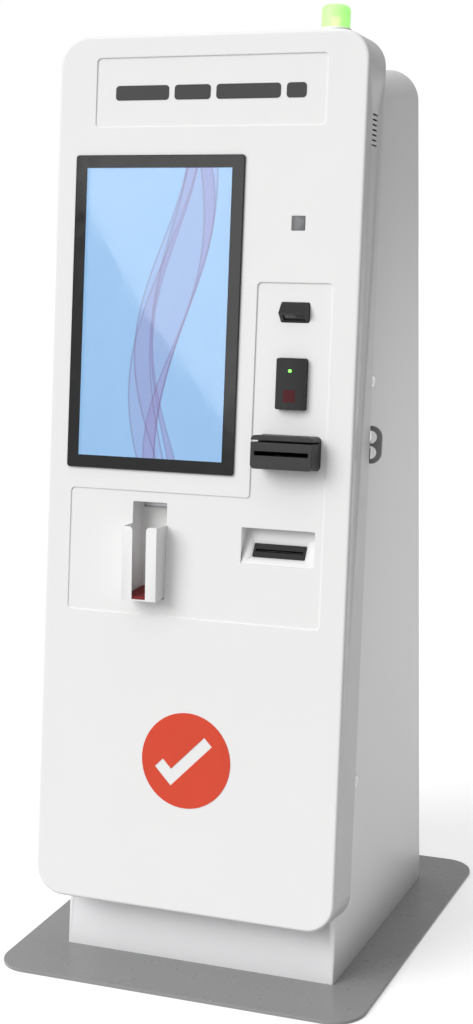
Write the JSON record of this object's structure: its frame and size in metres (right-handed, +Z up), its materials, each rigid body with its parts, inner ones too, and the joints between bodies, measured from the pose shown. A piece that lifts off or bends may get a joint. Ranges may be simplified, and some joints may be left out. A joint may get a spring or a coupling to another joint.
{
  "type": "self-service check-in kiosk",
  "caption": "Free-standing self-service kiosk with a sloping hinged door that carries a portrait touch screen, readers, a printer slot and a badge tray, on a steel floor plate.",
  "frame": {"origin": "centre of the floor plate's underside", "axes": "+Z up, -Y towards the customer, +X to the customer's right"},
  "size_m": [0.66, 0.71, 1.5964],
  "materials": {
    "white_paint": "satin powder coat",
    "cabinet_paint": "satin powder coat",
    "plate_paint": "semi-gloss powder coat",
    "zinc_steel": "zinc plated",
    "lock_metal": "satin chrome",
    "latch_metal": "satin grey",
    "hinge_steel": "bright",
    "black_plastic": "fine texture",
    "dark_plastic": "fine texture",
    "bezel_plastic": "satin",
    "grey_plastic": "satin",
    "screen_glass": "clear",
    "camera_glass": "tinted",
    "scan_glass": "dark red tint",
    "rubber": "matte",
    "seal_rubber": "foam",
    "paper": "matt paper",
    "card_stock": "satin",
    "red_pad": "matt",
    "label_red": "satin",
    "mark_ink": "satin film",
    "beacon_shell": "gloss",
    "rocker_red": "gloss",
    "lcd_image": "lit display",
    "lamp_green": "lit",
    "beacon_green": "translucent green",
    "beacon_light": "lit"
  },
  "bodies": {
    "cabinet": {"base_plate": "plate_paint", "plinth_bolts": "zinc_steel", "cabinet_body": "cabinet_paint", "door_seal": "seal_rubber", "rear_panel": "cabinet_paint", "rear_panel_screws": "zinc_steel", "hinge_cabinet_leaves": "hinge_steel", "hinge_pins": "hinge_steel", "lock_barrels": "lock_metal", "latch_plate": "latch_metal", "equipment_shelf": "zinc_steel", "computer_case": "black_plastic", "power_supply": "zinc_steel", "power_inlet": "black_plastic", "fan_frame": "black_plastic"},
    "door": {"door_shell": "white_paint", "door_keepers": "zinc_steel", "hinge_door_leaves": "hinge_steel", "screen_bezel": "bezel_plastic", "touch_glass": "screen_glass", "lcd_panel": "lcd_image", "monitor_case": "zinc_steel", "speaker": "black_plastic", "camera_window": "camera_glass", "camera_module": "black_plastic", "scanner_hood": "black_plastic", "scanner_window": "scan_glass", "contactless_reader": "dark_plastic", "reader_lamp": "lamp_green", "reader_label": "label_red", "card_reader": "dark_plastic", "card_mechanism": "zinc_steel", "printer_pocket": "white_paint", "paper_bezel": "black_plastic", "printer_body": "dark_plastic", "badge_pocket": "white_paint", "badge_tray": "white_paint", "tray_pad": "red_pad", "badge_hopper": "zinc_steel", "blank_badges": "card_stock", "beacon_base": "beacon_shell", "beacon_lamp": "beacon_light", "beacon_lens": "beacon_green", "front_marks": "mark_ink"},
    "fan": {"fan_rotor": "dark_plastic"},
    "rocker": {"inlet_rocker": "rocker_red"},
    "start_button": {"computer_button": "grey_plastic"},
    "upper_lock": {"upper_lock_core": "lock_metal"},
    "lower_lock": {"lower_lock_core": "lock_metal"},
    "key": {"key_cylinder": "lock_metal", "key_tongue": "zinc_steel"},
    "latch": {"latch_knob": "lock_metal", "latch_tongue": "zinc_steel"},
    "card_drive": {"card_drive_roller": "rubber"},
    "card_idle": {"card_idle_roller": "rubber"},
    "platen": {"platen_roller": "rubber"},
    "roll": {"paper_roll": "paper"},
    "lid": {"printer_lid": "grey_plastic"},
    "stack_weight": {"card_weight": "zinc_steel"},
    "feeder": {"feed_roller": "rubber"}
  },
  "joints": [
    {"name": "door_hinge", "type": "hinge", "parent": "cabinet", "child": "door", "pos_m": [-0.254, -0.09884, 0.80291], "axis": [0, -0.1538, -0.9881], "range_deg": [0, 100]},
    {"name": "upper_lock_turn", "type": "hinge", "parent": "cabinet", "child": "upper_lock", "pos_m": [0.235, -0.00521, 0.98821], "axis": [1, 0, 0], "range_deg": [0, 90]},
    {"name": "key_turn", "type": "hinge", "parent": "cabinet", "child": "key", "pos_m": [0.235, -0.03806, 0.90072], "axis": [1, 0, 0], "range_deg": [0, 90]},
    {"name": "latch_turn", "type": "hinge", "parent": "cabinet", "child": "latch", "pos_m": [0.235, -0.04237, 0.87306], "axis": [1, 0, 0], "range_deg": [0, 90]},
    {"name": "lower_lock_turn", "type": "hinge", "parent": "cabinet", "child": "lower_lock", "pos_m": [0.235, -0.10887, 0.32243], "axis": [1, 0, 0], "range_deg": [0, 90]},
    {"name": "fan_spin", "type": "hinge", "parent": "cabinet", "child": "fan", "pos_m": [0, 0.245, 1.21], "axis": [0, 1, 0], "continuous": true},
    {"name": "rocker_tilt", "type": "hinge", "parent": "cabinet", "child": "rocker", "pos_m": [0, 0.253, 0.1225], "axis": [1, 0, 0], "range_deg": [0, 16]},
    {"name": "start_button_press", "type": "slide", "parent": "cabinet", "child": "start_button", "axis": [0, 1, 0], "range_m": [0, 0.0015], "stiffness_N_per_m": 600},
    {"name": "card_drive_spin", "type": "hinge", "parent": "door", "child": "card_drive", "pos_m": [0.1635, -0.13401, 0.87467], "axis": [1, 0, 0], "continuous": true},
    {"name": "card_idle_spin", "type": "hinge", "parent": "door", "child": "card_idle", "pos_m": [0.1635, -0.13078, 0.89543], "axis": [1, 0, 0], "continuous": true},
    {"name": "roll_spin", "type": "hinge", "parent": "door", "child": "roll", "pos_m": [0.149, -0.11348, 0.69503], "axis": [1, 0, 0], "continuous": true},
    {"name": "platen_spin", "type": "hinge", "parent": "door", "child": "platen", "pos_m": [0.149, -0.17466, 0.71168], "axis": [1, 0, 0], "continuous": true},
    {"name": "lid_lift", "type": "hinge", "parent": "door", "child": "lid", "pos_m": [0.149, -0.04517, 0.70676], "axis": [-1, 0, 0], "range_deg": [0, 75]},
    {"name": "weight_lift", "type": "slide", "parent": "door", "child": "stack_weight", "axis": [0, 0.1538, 0.9881], "range_m": [0, 0.06]},
    {"name": "feeder_spin", "type": "hinge", "parent": "door", "child": "feeder", "pos_m": [-0.08, -0.12744, 0.77194], "axis": [1, 0, 0], "continuous": true}
  ],
  "couplings": [
    {"joint": "card_idle_spin", "follows": "card_drive_spin", "ratio": -1},
    {"joint": "platen_spin", "follows": "roll_spin", "ratio": -4.375}
  ]
}
